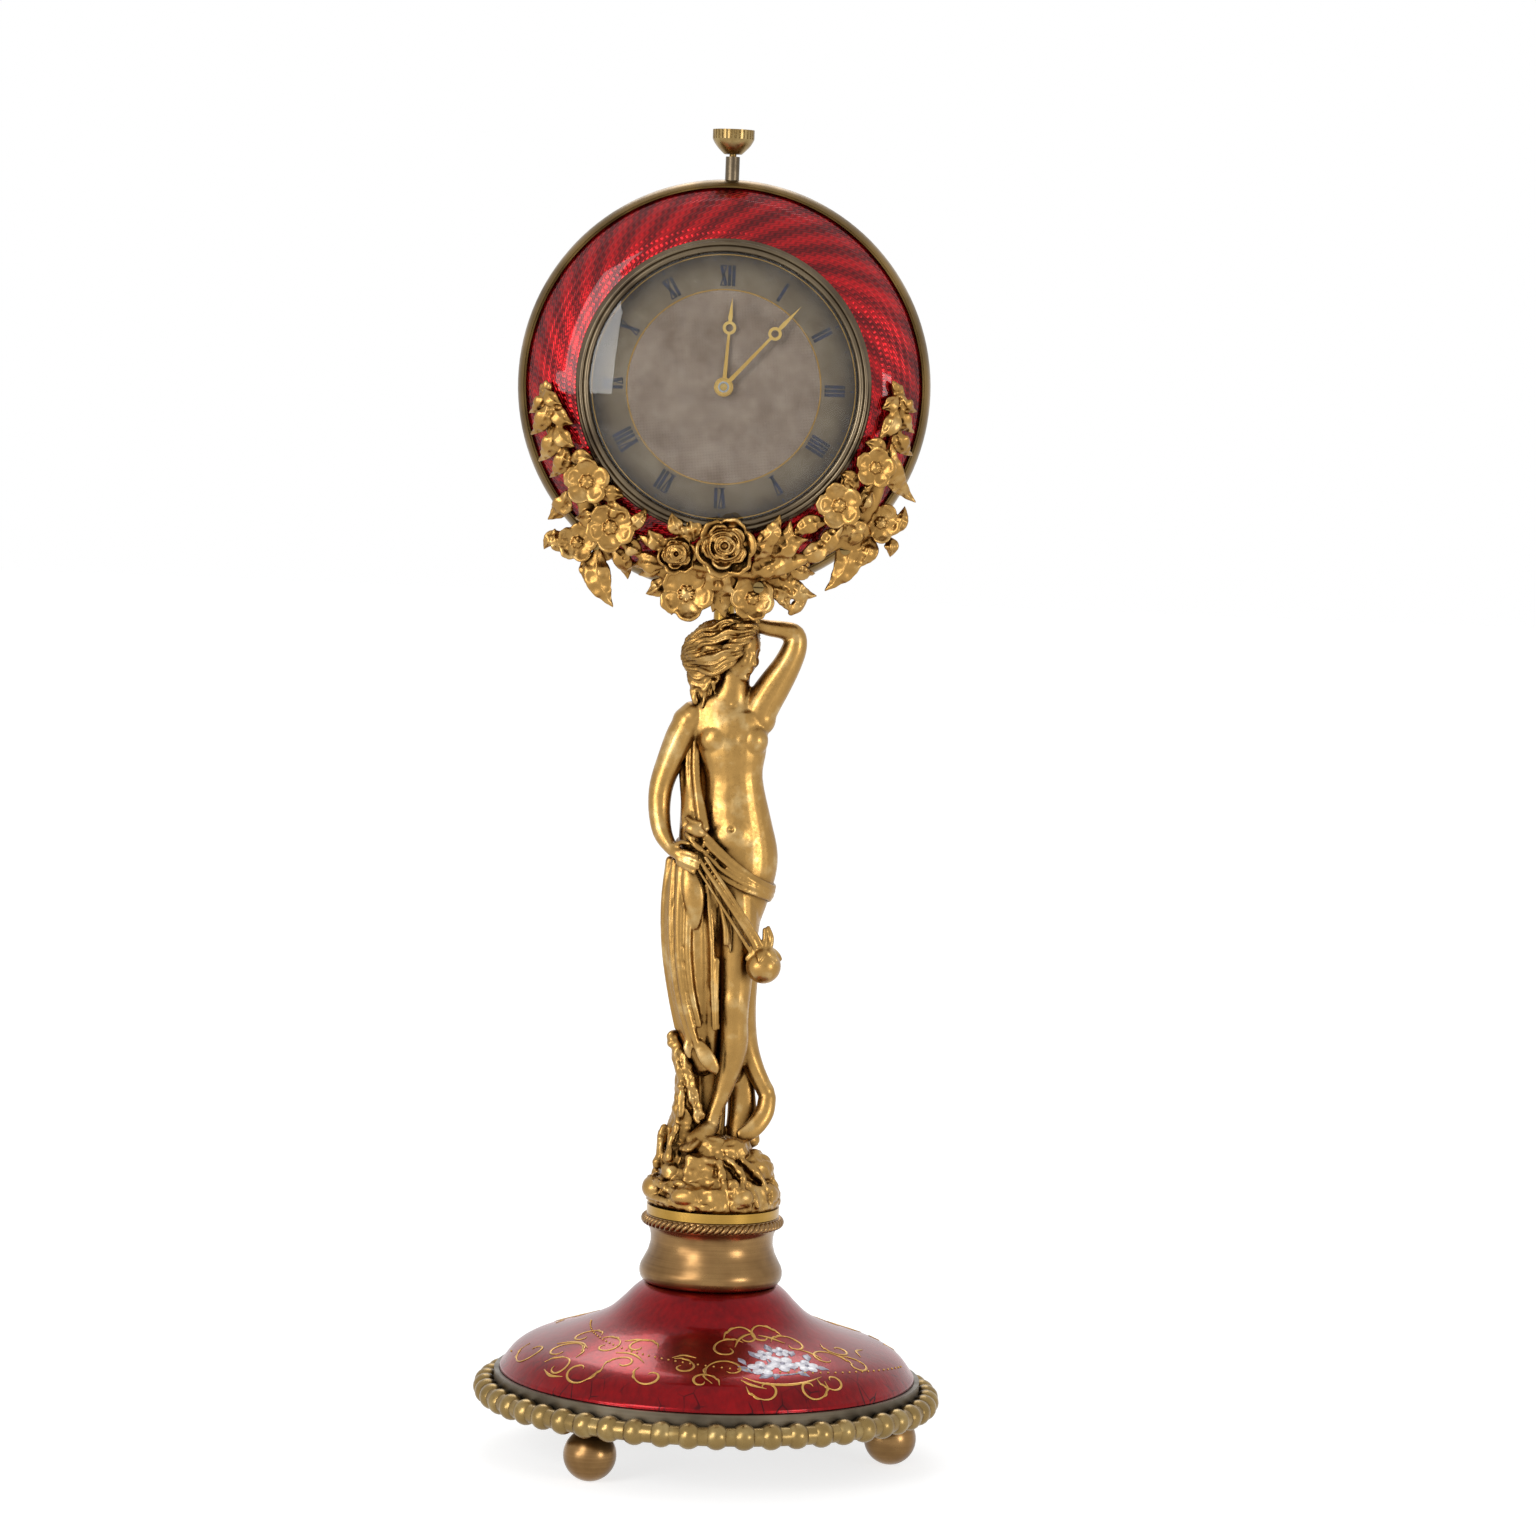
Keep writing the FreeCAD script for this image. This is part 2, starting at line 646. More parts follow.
def horn_casting():
    x, y, z, size = horn_ball_shares
    knob = Part.makeSphere(figure_height * size, Vec(*at_plinth(x, y, z)))
    return limb(figure_stations(horn_shares)).fuse(knob)


def rock_casting():
    stations = []
    for x, y, z, wide, deep in rock_shares:
        level = plinth_top_z + rock_height * z
        stations.append((rock_radius * x, rock_radius * y, level, rock_radius * wide, rock_radius * deep))
    parts = [limb(stations), limb(figure_stations(stump_shares))]
    for x, y, z, size in rock_lump_shares:
        place = Vec(rock_radius * x, rock_radius * y, plinth_top_z + rock_height * z)
        parts.append(Part.makeSphere(rock_radius * size, place))
    below = rod(rock_radius * 2, 0.0, plinth_top_z)
    return grown(parts).cut(below).cut(rod(rod_radius + fit_gap, plinth_top_z, rod_top_z))


def statue_nodes():
    figure = one_solid(figure_casting())
    horn = one_solid(horn_casting().cut(figure))
    rock = one_solid(rock_casting().cut(figure))
    keep("standing_figure", figure)
    keep("horn", horn)
    keep("rock_mound", rock)
    return figure


# Head case, drawn flat and stood up at the end
def ring_curve(inner_level, gap=0.0):
    # The swelling face of an enamel ring: its inner, middle and outer points
    span = ring_outer_radius - ring_inner_radius
    fall = inner_level - ring_edge_level
    middle = (ring_inner_radius + span / 2, ring_edge_level + fall * ring_bulge_share)
    return [(ring_inner_radius, inner_level + gap), (middle[0], middle[1] + gap),
            (ring_outer_radius, ring_edge_level + gap)]


def flipped(points):
    return [(r, -z) for r, z in points]


def enamel_ring(inner_level, side):
    top = ring_curve(inner_level)
    low = ring_curve(inner_level, -ring_wall)
    if side < 0:
        top, low = flipped(top), flipped(low)
    steps = [("arc", top[1:]), ("line", [low[2]]), ("arc", [low[1], low[0]]), ("line", [top[0]])]
    return spin(outline(top[0], steps))


def case_nodes():
    drum_low = -ring_back_level
    drum_high = ring_front_level
    web_outer = rim_inner_radius - seat_gap
    drum = ring(drum_outer_radius - drum_wall, drum_outer_radius, drum_low, drum_high)
    web = ring(drum_outer_radius - drum_wall, web_outer, -web_half, web_half)
    stem_bore = Part.makeCylinder(stem_radius + stem_gap, head_radius, Vec(0, 0, 0), Vec(0, 1, 0))
    lugs, lug_bores = hinge_lugs()
    drum = joined([drum, web] + lugs).cut([stem_bore] + lug_bores)
    keep("drum_case", place_head(drum))

    tube_top = head_radius + tube_height
    bore = Part.makeCylinder(tube_radius - tube_wall, tube_top, Vec(0, 0, 0), Vec(0, 1, 0))
    half = rim_half_depth
    lip = ring_edge_level - ring_wall
    rim = outline((rim_inner_radius, lip), [
        ("line", [(rim_inner_radius + rim_lip, lip), (rim_inner_radius + rim_lip, half)]),
        ("arc", [(head_radius, 0.0), (rim_inner_radius + rim_lip, -half)]),
        ("line", [(rim_inner_radius + rim_lip, -lip), (rim_inner_radius, -lip)])])
    keep("case_rim", place_head(spin(rim).cut([bore] + rim_holes())))
    keep("front_enamel_ring", place_head(enamel_ring(ring_front_level, 1)))
    keep("back_enamel_ring", place_head(enamel_ring(ring_back_level, -1).cut(hinge_room())))

    seat = ring_front_level
    edge = crystal_edge_level
    groove = crystal_radius + seat_gap
    lip_level = bezel_front_level - bezel_lip
    lip_radius = crystal_radius + bezel_lip
    bezel = outline((bezel_inner_radius, seat), [
        ("line", [(ring_inner_radius - seat_gap, seat)]),
        ("arc", [(ring_inner_radius - bezel_lip, lip_level), (lip_radius, bezel_front_level)]),
        ("line", [(groove, lip_level), (groove, edge), (bezel_inner_radius, edge)])])
    keep("front_bezel", place_head(spin(bezel)))
    keep("crystal", place_head(crystal()))

    dial = ring(dial_hole_radius, dial_radius, dial_back_level, dial_back_level + dial_thickness)
    feet = []
    for angle in dial_foot_angles:
        x, y = polar(pillar_circle_radius, angle)
        feet.append(rod(dial_foot_radius, main_plate_high, dial_back_level, x, y))
    keep("dial", place_head(joined([dial] + feet)))

    tube_low = math.sqrt((rim_inner_radius + rim_lip) ** 2 - tube_radius ** 2)
    tube = Part.makeCylinder(tube_radius, tube_top - tube_low, Vec(0, tube_low, 0), Vec(0, 1, 0))
    envelope = spin(outline((0.0, half), [
        ("line", [(rim_inner_radius + rim_lip, half)]),
        ("arc", [(head_radius, 0.0), (rim_inner_radius + rim_lip, -half)]), ("line", [(0.0, -half)])]))
    keep("pendant_tube", place_head(tube.cut(envelope).cut(bore)))


def crystal():
    sag = crystal_rise
    high = crystal_edge_level + crystal_wall
    sphere = (crystal_radius ** 2 + sag ** 2) / (2 * sag)
    middle = crystal_radius / 2
    dip = sphere - math.sqrt(sphere ** 2 - middle ** 2)
    top = high + sag
    glass = outline((0.0, top - crystal_wall), [
        ("line", [(0.0, top)]), ("arc", [(middle, top - dip), (crystal_radius, high)]),
        ("line", [(crystal_radius, crystal_edge_level)]),
        ("arc", [(middle, top - dip - crystal_wall), (0.0, top - crystal_wall)])])
    return spin(glass)


# Back cover on a hinge at the viewer's left
hinge_x = -(cover_radius + hinge_offset)
hinge_level = -(ring_back_level + cover_gap + cover_wall / 2)


def hinge_rod(radius, low, high):
    return Part.makeCylinder(radius, high - low, Vec(hinge_x, low, hinge_level), Vec(0, 1, 0))


def hinge_lugs():
    knuckle = hinge_knuckle_length / 2
    lugs = []
    bores = []
    for side in (-1, 1):
        near = side * (knuckle + hinge_gap)
        far = near + side * hinge_lug_length
        low, high = min(near, far), max(near, far)
        lug = hinge_rod(hinge_knuckle_radius, low, high)
        leg = Part.makeBox(hinge_offset - cover_gap, high - low, -hinge_level - web_half,
                           Vec(hinge_x, low, hinge_level))
        root = Part.makeBox(drum_wall + cover_gap, high - low, ring_back_level - web_half,
                            Vec(hinge_x + hinge_offset - cover_gap, low, -ring_back_level))
        lugs.append(joined([lug, leg, root]))
        bores.append(hinge_rod(hinge_pin_radius + solder_gap, low, high))
    inside = ring(0.0, drum_outer_radius - drum_wall, hinge_level * 2, 0.0)
    return [lug.cut(inside) for lug in lugs], bores


def hinge_room():
    # The notch in the back enamel ring that the knuckles stand in
    length = hinge_knuckle_length + 2 * (hinge_lug_length + hinge_gap + seat_gap)
    width = hinge_offset + hinge_knuckle_radius * 2 + seat_gap
    return Part.makeBox(width, length, ring_back_level * 2,
                        Vec(hinge_x - hinge_knuckle_radius - seat_gap, -length / 2, -ring_back_level * 2))


def back_cover_nodes():
    low = -(ring_back_level + cover_gap)
    sag = cover_rise
    radius = cover_radius
    sphere = (radius ** 2 + sag ** 2) / (2 * sag)
    dip = sphere - math.sqrt(sphere ** 2 - (radius / 2) ** 2)
    edge = low - cover_wall
    top = edge - sag
    cover = spin(outline((0.0, top), [
        ("arc", [(radius / 2, top + dip), (radius, edge)]), ("line", [(radius, low)]),
        ("arc", [(radius / 2, top + dip + cover_wall), (0.0, top + cover_wall)])]))
    knuckle = hinge_rod(hinge_knuckle_radius, -hinge_knuckle_length / 2, hinge_knuckle_length / 2)
    arm = Part.makeBox(hinge_arm, hinge_knuckle_length, cover_wall,
                       Vec(hinge_x, -hinge_knuckle_length / 2, edge))
    cover = joined([cover, knuckle, arm])
    bore = hinge_rod(hinge_pin_radius + pivot_gap, -hinge_knuckle_length, hinge_knuckle_length)
    drum = ring(0.0, drum_outer_radius, low, ring_front_level)
    keep("back_cover", place_head(cover.cut([bore, drum])))
    reach = hinge_knuckle_length / 2 + hinge_gap + hinge_lug_length
    keep("hinge_pin", place_head(hinge_rod(hinge_pin_radius, -reach, reach)))


# Places of the arbors, right and up from the dial's centre
def step_to(origin, reach, angle):
    return polar(reach, angle, origin)


def centres(module, first, second):
    return module * (first + second) / 2


centre_place = (0.0, 0.0)
barrel_place = step_to(centre_place, centres(barrel_module, barrel_teeth, centre_pinion_teeth), barrel_angle)
third_place = step_to(centre_place, centres(centre_module, centre_teeth, third_pinion_teeth), third_angle)
fourth_place = step_to(third_place, centres(third_module, third_teeth, fourth_pinion_teeth), fourth_angle)
escape_place = step_to(fourth_place, centres(fourth_module, fourth_teeth, escape_pinion_teeth), escape_angle)
fork_place = step_to(escape_place, lever_half, lever_angle)
balance_place = step_to(escape_place, lever_half * 2, lever_angle)
motion_reach = centres(motion_module, cannon_teeth, minute_wheel_teeth)
minute_place = step_to(centre_place, motion_reach, minute_wheel_angle)
crown_wheel_place = (0.0, crown_wheel_reach)
ratchet_high = ratchet_low + ratchet_thickness
ratchet_tip_radius = winding_module * (ratchet_teeth / 2 + addendum_share)
winding_pinion_radius = winding_module * winding_pinion_teeth / 2
click_place = step_to(barrel_place, ratchet_tip_radius + click_radius + click_width, click_angle)
regulator_low = bridge_low - regulator_gap - regulator_thickness


def heading(start, end):
    return math.degrees(math.atan2(end[1] - start[1], end[0] - start[0]))


def gear(teeth, module, low, thickness, place, tooth_angle, tooth_share):
    # A spur gear with plain flanks, one tooth centred on tooth_angle
    pitch = module * teeth / 2
    tip = pitch + module * addendum_share
    root = pitch - module * dedendum_share
    step = 360 / teeth
    half_tip = step * tooth_share * tip_share / 2
    half_root = step * tooth_share * (2 - tip_share) / 2
    points = []
    for index in range(teeth):
        middle = tooth_angle + index * step
        for radius, turn in ((root, -half_root), (tip, -half_tip), (tip, half_tip), (root, half_root)):
            points.append(Vec(*polar(radius, middle + turn, place), low))
    return Part.Face(Part.makePolygon(points + points[:1])).extrude(Vec(0, 0, thickness))


def pinion(teeth, module, low, height, place, driver):
    # A pinion whose gap faces the wheel that drives it
    gap_angle = heading(place, driver)
    return gear(teeth, module, low, height, place, gap_angle + 180 / teeth, pinion_tooth_share)


def spoked(teeth, module, low, place, driven, thickness=wheel_thickness):
    # A wheel with spokes, one tooth pointing at the pinion that it drives
    blank = gear(teeth, module, low, thickness, place, heading(place, driven), wheel_tooth_share)
    pitch = module * teeth / 2
    return blank.cut(windows(pitch, low, thickness, place))


def windows(radius, low, thickness, place):
    outer = radius * (1 - wheel_rim_share)
    hub = max(radius * hub_share, hub_radius_min)
    step = 360 / spoke_count
    sweep = step * (1 - spoke_width_share)
    slices = []
    for index in range(spoke_count):
        piece = Part.makeCylinder(outer, thickness, Vec(0, 0, 0), Vec(0, 0, 1), sweep)
        piece = piece.cut(Part.makeCylinder(hub, thickness))
        piece.rotate(Vec(0, 0, 0), Vec(0, 0, 1), index * step)
        slices.append(moved(piece, place[0], place[1], low))
    return slices


def arbor(place):
    # The axle of a wheel with a fine pivot at each end
    x, y = place
    body = rod(arbor_radius, bridge_high + arbor_end_gap, main_plate_low - arbor_end_gap, x, y)
    pivots = rod(pivot_radius, bridge_low + arbor_end_gap, main_plate_high - arbor_end_gap, x, y)
    return [body, pivots]


def train_nodes():
    x, y = centre_place
    leaves = pinion(centre_pinion_teeth, barrel_module, centre_pinion_level, centre_pinion_height,
                    centre_place, barrel_place)
    wheel = [spoked(centre_teeth, centre_module, centre_wheel_level, centre_place, third_place), leaves,
             rod(centre_arbor_radius, bridge_high + arbor_end_gap, minute_hand_level, x, y),
             rod(pivot_radius * 2, bridge_low + arbor_end_gap, bridge_high + arbor_end_gap, x, y)]
    keep("centre_wheel", place_head(joined(wheel)))

    pinion_low = centre_wheel_level + wheel_thickness / 2 - pinion_height / 2
    third = [spoked(third_teeth, third_module, third_wheel_level, third_place, fourth_place),
             pinion(third_pinion_teeth, centre_module, pinion_low, pinion_height, third_place, centre_place)]
    keep("third_wheel", place_head(joined(third + arbor(third_place))))

    pinion_low = third_wheel_level + wheel_thickness / 2 - pinion_height / 2
    fourth = [spoked(fourth_teeth, fourth_module, fourth_wheel_level, fourth_place, escape_place),
              pinion(fourth_pinion_teeth, third_module, pinion_low, pinion_height, fourth_place, third_place)]
    keep("fourth_wheel", place_head(joined(fourth + arbor(fourth_place))))

    pinion_low = fourth_wheel_level + wheel_thickness / 2 - pinion_height / 2
    leaves = pinion(escape_pinion_teeth, fourth_module, pinion_low, pinion_height, escape_place, fourth_place)
    keep("escape_wheel", place_head(joined([escape_wheel(), leaves] + arbor(escape_place))))


def escape_wheel():
    # Fifteen pointed teeth that lean forward
    points = []
    step = 360 / escape_teeth
    inner = escape_radius * (1 - hub_share)
    for index in range(escape_teeth):
        for radius, turn in ((escape_radius, 0), (inner, tooth_lean_share), (inner, tip_share)):
            points.append(Vec(*polar(radius, step * (index + turn), escape_place), escape_wheel_level))
    blank = Part.Face(Part.makePolygon(points + points[:1])).extrude(Vec(0, 0, wheel_thickness))
    return blank.cut(windows(inner, escape_wheel_level, wheel_thickness, escape_place))


def barrel_nodes():
    x, y = barrel_place
    inner = barrel_drum_radius - barrel_wall
    top = barrel_low + barrel_height
    teeth = gear(barrel_teeth, barrel_module, barrel_low, barrel_rim_height, barrel_place,
                 heading(barrel_place, centre_place), wheel_tooth_share)
    drum = rod(barrel_drum_radius, barrel_low, top, x, y)
    hollow = rod(inner, barrel_low, top - barrel_wall, x, y)
    hole = rod(barrel_arbor_radius + fit_gap, barrel_low, top, x, y)
    keep("mainspring_barrel", place_head(teeth.fuse(drum).cut([hollow, hole])))
    cover = rod(inner - solder_gap, barrel_low, barrel_low + barrel_wall, x, y)
    keep("barrel_cover", place_head(cover.cut(hole)))

    core_low = barrel_low + barrel_wall + pivot_gap
    core_top = top - barrel_wall - pivot_gap
    shaft = [rod(barrel_arbor_radius, ratchet_low, main_plate_low - arbor_end_gap, x, y),
             rod(centre_arbor_radius, main_plate_low - arbor_end_gap, main_plate_high - arbor_end_gap, x, y),
             rod(barrel_core_radius, core_low, core_top, x, y)]
    keep("barrel_arbor", place_head(joined(shaft)))

    start = barrel_core_radius + mainspring_clear + mainspring_width / 2
    end = inner - mainspring_clear - mainspring_width / 2
    low = (core_low + core_top) / 2 - mainspring_height / 2
    spring = spiral(start, end, mainspring_turns, mainspring_width, low, mainspring_height)
    keep("mainspring", place_head(moved(spring, x, y)))


def spiral(start, end, turns, width, low, height):
    # A flat spiral strip made of half circles round two centres that are half a pitch apart
    shift = (end - start) / (2 * turns + 1)
    outer = []
    inner = []
    for index in range(2 * turns):
        side = 1 if index % 2 == 0 else -1
        middle = 0.0 if index % 2 == 0 else shift
        radius = start + index * shift
        for edge, size in ((outer, radius + width / 2), (inner, radius - width / 2)):
            a = Vec(middle + side * size, 0, low)
            b = Vec(middle, side * size, low)
            c = Vec(middle - side * size, 0, low)
            edge.append(Part.Arc(a, b, c).toShape())
    ends = []
    for index, vertex in ((0, 0), (-1, -1)):
        ends.append(Part.makeLine(outer[index].Vertexes[vertex].Point, inner[index].Vertexes[vertex].Point))
    wire = Part.Wire(Part.__sortEdges__(outer + ends + inner))
    return Part.Face(wire).extrude(Vec(0, 0, height))


def winding_nodes():
    x, y = barrel_place
    wheel_angle = heading(crown_wheel_place, barrel_place)
    ratchet = gear(ratchet_teeth, winding_module, ratchet_low, ratchet_thickness, barrel_place,
                   wheel_angle + 180 + 180 / ratchet_teeth, wheel_tooth_share)
    keep("ratchet_wheel", place_head(ratchet.cut(rod(barrel_arbor_radius, ratchet_low, ratchet_high, x, y))))
    cap = screw_head((x, y), barrel_core_radius, ratchet_low - screw_head_height)
    keep("ratchet_screw", place_head(cap))

    x, y = crown_wheel_place
    blank = gear(crown_wheel_teeth, winding_module, ratchet_low, ratchet_thickness, crown_wheel_place,
                 wheel_angle, wheel_tooth_share)
    pitch = winding_module * crown_wheel_teeth / 2
    inner = pitch - crown_ring_width / 2
    teeth = []
    for index in range(crown_wheel_teeth):
        tooth = Part.makeBox(crown_ring_width, crown_tooth_width, crown_tooth_height,
                             Vec(inner, -crown_tooth_width / 2, ratchet_high))
        tooth.rotate(Vec(0, 0, 0), Vec(0, 0, 1), 90 + index * 360 / crown_wheel_teeth)
        teeth.append(moved(tooth, x, y))
    hole = rod(crown_stud_radius + pivot_gap, ratchet_low, ratchet_high, x, y)
    keep("crown_wheel", place_head(blank.fuse(teeth).cut(hole)))

    pitch = winding_pinion_radius
    face = []
    step = 360 / winding_pinion_teeth
    for index in range(winding_pinion_teeth):
        middle = -90 + step / 2 + index * step
        half_tip = step * pinion_tooth_share * tip_share / 2
        half_root = step * pinion_tooth_share * (2 - tip_share) / 2
        for radius, turn in ((pitch - winding_dedendum, -half_root), (pitch + winding_addendum, -half_tip),
                             (pitch + winding_addendum, half_tip), (pitch - winding_dedendum, half_root)):
            across, level = polar(radius, middle + turn)
            face.append(Vec(across, winding_pinion_near, level))
    body = Part.Face(Part.makePolygon(face + face[:1])).extrude(
        Vec(0, winding_pinion_far - winding_pinion_near, 0))
    bore = Part.makeCylinder(stem_radius + stem_gap, head_radius, Vec(0, 0, 0), Vec(0, 1, 0))
    keep("winding_pinion", place_head(body.cut(bore)))

    keep("click", place_head(click()))


def click():
    # The pawl stands just clear of the ratchet's teeth
    x, y = click_place
    low = ratchet_low
    tip = polar(ratchet_tip_radius + click_gap, click_angle - click_tip_turn, barrel_place)
    lean = math.radians(heading(click_place, tip) + 90)
    across = (math.cos(lean) * click_width / 2, math.sin(lean) * click_width / 2)
    corners = [Vec(x + across[0], y + across[1], low), Vec(x - across[0], y - across[1], low),
               Vec(tip[0], tip[1], low)]
    beak = Part.Face(Part.makePolygon(corners + corners[:1])).extrude(Vec(0, 0, ratchet_thickness))
    disc = rod(click_radius, low, ratchet_high, x, y)
    hole = rod(click_radius / 2 + pivot_gap, low, ratchet_high, x, y)
    return disc.fuse(beak).cut(hole)


def screw_head(place, radius, low):
    head = rod(radius, low, low + screw_head_height, place[0], place[1])
    slot = Part.makeBox(radius * 2, screw_slot_width, screw_head_height / 2,
                        Vec(place[0] - radius, place[1] - screw_slot_width / 2, low))
    return head.cut(slot)


# Plates and bridges
def pivot_hole(place, radius=pivot_radius):
    return rod(radius + pivot_gap, bridge_low - ratchet_thickness, main_plate_high, place[0], place[1])


def pillar(place):
    return rod(pillar_radius, bridge_high, main_plate_low, place[0], place[1])


def pallet_posts():
    turn = lever_angle + 90
    return [step_to(fork_place, pallet_bridge_half, turn), step_to(fork_place, -pallet_bridge_half, turn)]


def main_plate():
    plate = rod(plate_disc_radius, main_plate_low, main_plate_high)
    stud = rod(arbor_radius, main_plate_high, minute_pinion_top, *minute_place)
    post_low = pallet_bridge_level + pallet_bridge_thickness
    posts = [rod(pallet_bridge_width / 2, post_low, main_plate_low, *place) for place in pallet_posts()]
    bore = Part.makeCylinder(stem_radius + stem_gap, head_radius, Vec(0, 0, 0), Vec(0, 1, 0))
    lugs = []
    for low in (winding_pinion_near - lug_gap - lug_thickness, winding_pinion_far + lug_gap):
        lugs.append(Part.makeBox(lug_half_width * 2, lug_thickness, lug_depth,
                                 Vec(-lug_half_width, low, main_plate_low - lug_depth)))
    plate = joined([plate, stud] + posts + lugs)
    holes = [pivot_hole(p) for p in (third_place, fourth_place, escape_place, fork_place, balance_place)]
    holes = [hole.cut(rod(plate_disc_radius * 2, bridge_low * 2, main_plate_low)) for hole in holes]
    holes.append(rod(centre_arbor_radius + pivot_gap, main_plate_low, main_plate_high))
    holes.append(rod(centre_arbor_radius + pivot_gap, main_plate_low, main_plate_high, *barrel_place))
    return plate.cut(holes + [bore])


def barrel_bridge():
    span = plate_disc_radius * 2
    thickness = bridge_high - bridge_low
    disc = rod(plate_disc_radius - bridge_split_gap, bridge_low, bridge_high)
    half = disc.common(Part.makeBox(span, span, thickness, Vec(-plate_disc_radius, bridge_edge, bridge_low)))
    pillars = [pillar(polar(pillar_circle_radius, angle)) for angle in bridge_pillar_angles]
    x, y = crown_wheel_place
    pitch = winding_module * crown_wheel_teeth / 2
    groove_low = ratchet_high + crown_tooth_height + crown_groove_gap
    groove = rod(pitch + crown_ring_width, bridge_low, groove_low, x, y)
    groove = groove.cut(rod(pitch - crown_ring_width, bridge_low, groove_low, x, y))
    room_width = lug_depth + lug_half_width
    room_corner = Vec(-room_width / 2, winding_pinion_near - lug_gap, bridge_low)
    room_length = winding_pinion_far - winding_pinion_near + lug_gap * 2
    room = Part.makeBox(room_width, room_length, thickness, room_corner)
    stud = rod(crown_stud_radius, ratchet_low, bridge_low, x, y)
    click_stud = rod(click_radius / 2, ratchet_low, bridge_low, *click_place)
    body = joined([half] + pillars + [stud, click_stud])
    return body.cut([groove, room, pivot_hole(barrel_place, barrel_arbor_radius),
                     pivot_hole(centre_place, pivot_radius * 2)])


def train_bridge():
    span = plate_disc_radius * 2
    thickness = bridge_high - bridge_low
    disc = rod(plate_disc_radius - bridge_split_gap, bridge_low, bridge_high)
    corner = Vec(train_edge - span, bridge_edge - bridge_split_gap - span, bridge_low)
    half = disc.common(Part.makeBox(span, span, thickness, corner))
    pillars = [pillar(polar(pillar_circle_radius, angle)) for angle in train_pillar_angles]
    body = joined([half] + pillars)
    return body.cut([pivot_hole(p) for p in (third_place, fourth_place, escape_place)])


def slab(start, end, half_width, low, high):
    # A flat bar with round ends from one place to another
    turn = heading(start, end) + 90
    corners = []
    for place, side in ((start, 1), (start, -1), (end, -1), (end, 1)):
        corners.append(Vec(*polar(side * half_width, turn, place), low))
    bar = Part.Face(Part.makePolygon(corners + corners[:1])).extrude(Vec(0, 0, high - low))
    return joined([bar, rod(half_width, low, high, *start), rod(half_width, low, high, *end)])


def cock_foot():
    return step_to(balance_place, cock_foot_reach, cock_foot_angle)


def balance_cock():
    foot = cock_foot()
    bar = slab(balance_place, foot, cock_half_width, bridge_low, bridge_high)
    boss = rod(regulator_bore, regulator_low - regulator_gap, bridge_low, *balance_place)
    body = joined([bar, boss, pillar(foot)])
    return body.cut(pivot_hole(balance_place))


def pallet_bridge():
    posts = pallet_posts()
    bar = slab(posts[0], posts[1], pallet_bridge_width / 2, pallet_bridge_level,
               pallet_bridge_level + pallet_bridge_thickness)
    return bar.cut(pivot_hole(fork_place))


def plate_nodes():
    keep("main_plate", place_head(main_plate()))
    keep("barrel_bridge", place_head(barrel_bridge()))
    keep("train_bridge", place_head(train_bridge()))
    keep("balance_cock", place_head(balance_cock()))
    keep("pallet_bridge", place_head(pallet_bridge()))
    places = [polar(pillar_circle_radius, angle) for angle in bridge_pillar_angles + train_pillar_angles]
    places.append(cock_foot())
    heads = [screw_head(place, screw_head_radius, bridge_low - screw_head_height) for place in places]
    heads.append(screw_head(crown_wheel_place, screw_head_radius, ratchet_low - screw_head_height))
    keep("bridge_screws", place_head(Part.makeCompound(heads)), group=True)


# Balance, fork and springs
def balance_nodes():
    x, y = balance_place
    rim = ring(balance_radius - balance_rim_width, balance_radius, balance_level,
               balance_level + balance_thickness)
    arm = Part.makeBox(balance_radius * 2 - balance_rim_width, arbor_radius * 2, balance_thickness,
                       Vec(-balance_radius + balance_rim_width / 2, -arbor_radius, balance_level))
    hub = rod(hub_radius_min, balance_level, balance_level + balance_thickness)
    screws = []
    for index in range(balance_screws):
        screw = Part.makeCylinder(balance_screw_radius, balance_screw_length + balance_rim_width / 2,
                                  Vec(balance_radius - balance_rim_width / 2, 0,
                                      balance_level + balance_thickness / 2), Vec(1, 0, 0))
        screw.rotate(Vec(0, 0, 0), Vec(0, 0, 1), (index + 0.5) * 360 / balance_screws)
        screws.append(screw)
    roller = rod(roller_radius, roller_level, roller_level + roller_thickness)
    pin_x, pin_y = polar(jewel_pin_circle, lever_angle + 180)
    pin = rod(jewel_pin_radius, roller_level, fork_level + fork_thickness, pin_x, pin_y)
    wheel = joined([rim, arm, hub, roller, pin] + screws)
    keep("balance_wheel", place_head(joined([moved(wheel, x, y)] + arbor(balance_place))))

    strip = spiral(hairspring_inner_radius, hairspring_outer_radius, hairspring_turns, hairspring_width,
                   hairspring_level, hairspring_height)
    collet = ring(arbor_radius, collet_radius, hairspring_level, hairspring_level + hairspring_height)
    keep("hairspring", place_head(moved(strip.fuse(collet), x, y)))
    keep("pallet_fork", place_head(pallet_fork()))
    keep("regulator_lever", place_head(regulator()))


